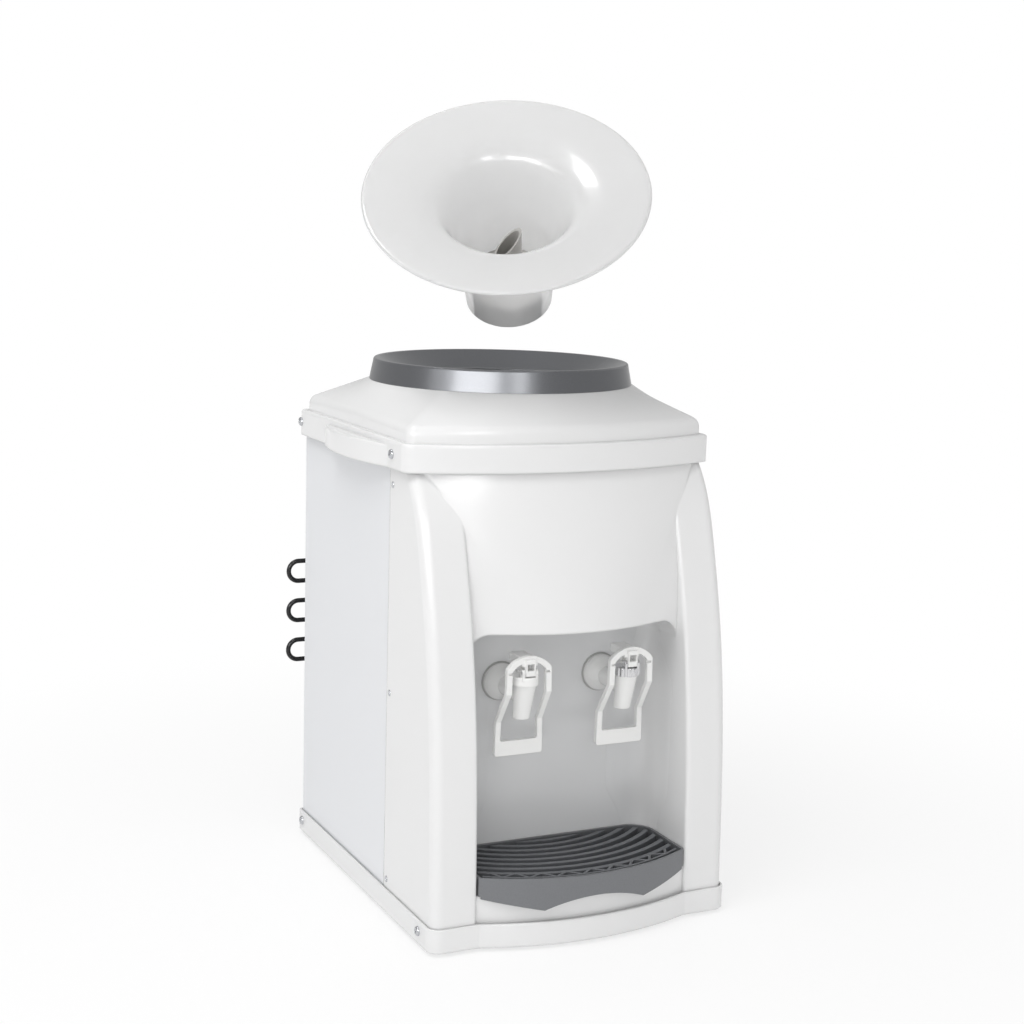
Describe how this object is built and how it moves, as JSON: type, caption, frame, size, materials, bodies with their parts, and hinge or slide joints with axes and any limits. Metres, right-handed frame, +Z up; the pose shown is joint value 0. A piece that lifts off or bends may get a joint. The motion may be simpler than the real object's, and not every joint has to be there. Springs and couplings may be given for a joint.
{
  "type": "countertop water dispenser",
  "caption": "Countertop water dispenser: white cabinet with a curved fascia over a cup niche, lever taps, slatted drip tray, grey collar and a tipped bottle funnel.",
  "frame": {"origin": "on the resting surface under the middle of the footprint", "axes": "+Z up, -Y towards the user, +X to the user's right"},
  "size_m": [0.333, 0.408, 0.7428],
  "materials": {
    "shell_white": "gloss white moulding",
    "sheet_white": "smooth white coating on sheet steel",
    "rear_sheet": "satin light grey coating on sheet steel",
    "niche_grey": "satin light grey",
    "collar_grey": "satin metallic grey",
    "tray_grey": "satin metallic grey",
    "grille_grey": "satin metallic grey",
    "funnel_milky": "milky translucent",
    "spike_grey": "translucent grey",
    "tap_white": "gloss white",
    "tap_chrome": "bright plating",
    "plunger_white": "smooth",
    "nut_grey": "moulded",
    "gasket_grey": "soft matt",
    "rubber_black": "matt",
    "pin_steel": "drawn wire",
    "screw_steel": "zinc plated",
    "tank_steel": "drawn stainless",
    "foam_white": "beaded foam",
    "copper": "drawn copper",
    "zinc_sheet": "galvanised",
    "compressor_black": "black stove enamel",
    "condenser_black": "black enamel",
    "switch_black": "moulded",
    "hose_clear": "silicone"
  },
  "bodies": {
    "cabinet": {"front_panel": "shell_white", "top_cover": "shell_white", "base_tray": "shell_white", "left_side_panel": "sheet_white", "right_side_panel": "sheet_white", "rear_panel": "rear_sheet", "tap_panel": "niche_grey", "collar_ring": "collar_grey", "left_tap_body": "tap_white", "right_tap_body": "tap_white", "left_tap_cap": "tap_white", "right_tap_cap": "tap_chrome", "left_tap_nut": "nut_grey", "right_tap_nut": "nut_grey", "left_tap_gasket": "gasket_grey", "right_tap_gasket": "gasket_grey", "rubber_feet": "rubber_black", "compressor_grommets": "rubber_black", "cord_gland": "rubber_black", "left_lever_pin": "pin_steel", "right_lever_pin": "pin_steel", "left_tap_spring": "pin_steel", "right_tap_spring": "pin_steel", "cover_screws": "screw_steel", "base_screws": "screw_steel", "rear_screws": "screw_steel", "panel_rivets": "screw_steel", "water_tank": "tank_steel", "tank_floor": "tank_steel", "tank_insulation": "foam_white", "insulation_pad": "foam_white", "evaporator_coil": "copper", "liquid_line": "copper", "suction_line": "copper", "discharge_line": "copper", "filter_drier": "copper", "tank_shelf": "zinc_sheet", "compressor_plate": "zinc_sheet", "condenser_brackets": "zinc_sheet", "compressor": "compressor_black", "condenser_tube": "condenser_black", "condenser_wires": "condenser_black", "thermostat": "switch_black", "left_outlet_hose": "hose_clear", "right_outlet_hose": "hose_clear"},
    "left_lever": {"left_tap_lever": "tap_white"},
    "right_lever": {"right_tap_lever": "tap_white"},
    "left_plunger": {"left_tap_plunger": "plunger_white", "left_valve_seal": "rubber_black"},
    "right_plunger": {"right_tap_plunger": "plunger_white", "right_valve_seal": "rubber_black"},
    "tray": {"drip_tray": "tray_grey"},
    "grille": {"drip_grille": "grille_grey"},
    "knob": {"thermostat_knob": "switch_black"},
    "funnel": {"bottle_funnel": "funnel_milky", "bottle_spike": "spike_grey"}
  },
  "joints": [
    {"name": "left_lever_rock", "type": "hinge", "parent": "cabinet", "child": "left_lever", "pos_m": [-0.051, -0.156, 0.2415], "axis": [1, 0, 0], "range_deg": [0, 15], "stiffness_Nm_per_rad": 0.5, "springref_deg": -8.59},
    {"name": "left_plunger_lift", "type": "slide", "parent": "cabinet", "child": "left_plunger", "axis": [0, 0, 1], "range_m": [0, 0.0022], "deforming": ["left_tap_spring"]},
    {"name": "right_lever_rock", "type": "hinge", "parent": "cabinet", "child": "right_lever", "pos_m": [0.051, -0.156, 0.2415], "axis": [1, 0, 0], "range_deg": [0, 15], "stiffness_Nm_per_rad": 0.5, "springref_deg": -8.59},
    {"name": "right_plunger_lift", "type": "slide", "parent": "cabinet", "child": "right_plunger", "axis": [0, 0, 1], "range_m": [0, 0.0022], "deforming": ["right_tap_spring"]},
    {"name": "drip_tray_slide", "type": "slide", "parent": "cabinet", "child": "tray", "axis": [0, -1, 0], "range_m": [0, 0.11]},
    {"name": "grille_lift", "type": "slide", "parent": "tray", "child": "grille", "axis": [0, 0, 1], "range_m": [0, 0.05]},
    {"name": "thermostat_turn", "type": "hinge", "parent": "cabinet", "child": "knob", "pos_m": [0.092, 0.174, 0.345], "axis": [0, 1, 0], "range_deg": [0, 270]},
    {"name": "funnel_lift", "type": "hinge", "parent": "cabinet", "child": "funnel", "pos_m": [-0.11963, -0.19401, 0.44514], "axis": [0.8841, -0.4658, -0.0363], "range_deg": [-41.1, 0]}
  ],
  "couplings": [
    {"joint": "left_plunger_lift", "follows": "left_lever_rock", "m_per_rad": 0.008},
    {"joint": "right_plunger_lift", "follows": "right_lever_rock", "m_per_rad": 0.008}
  ]
}
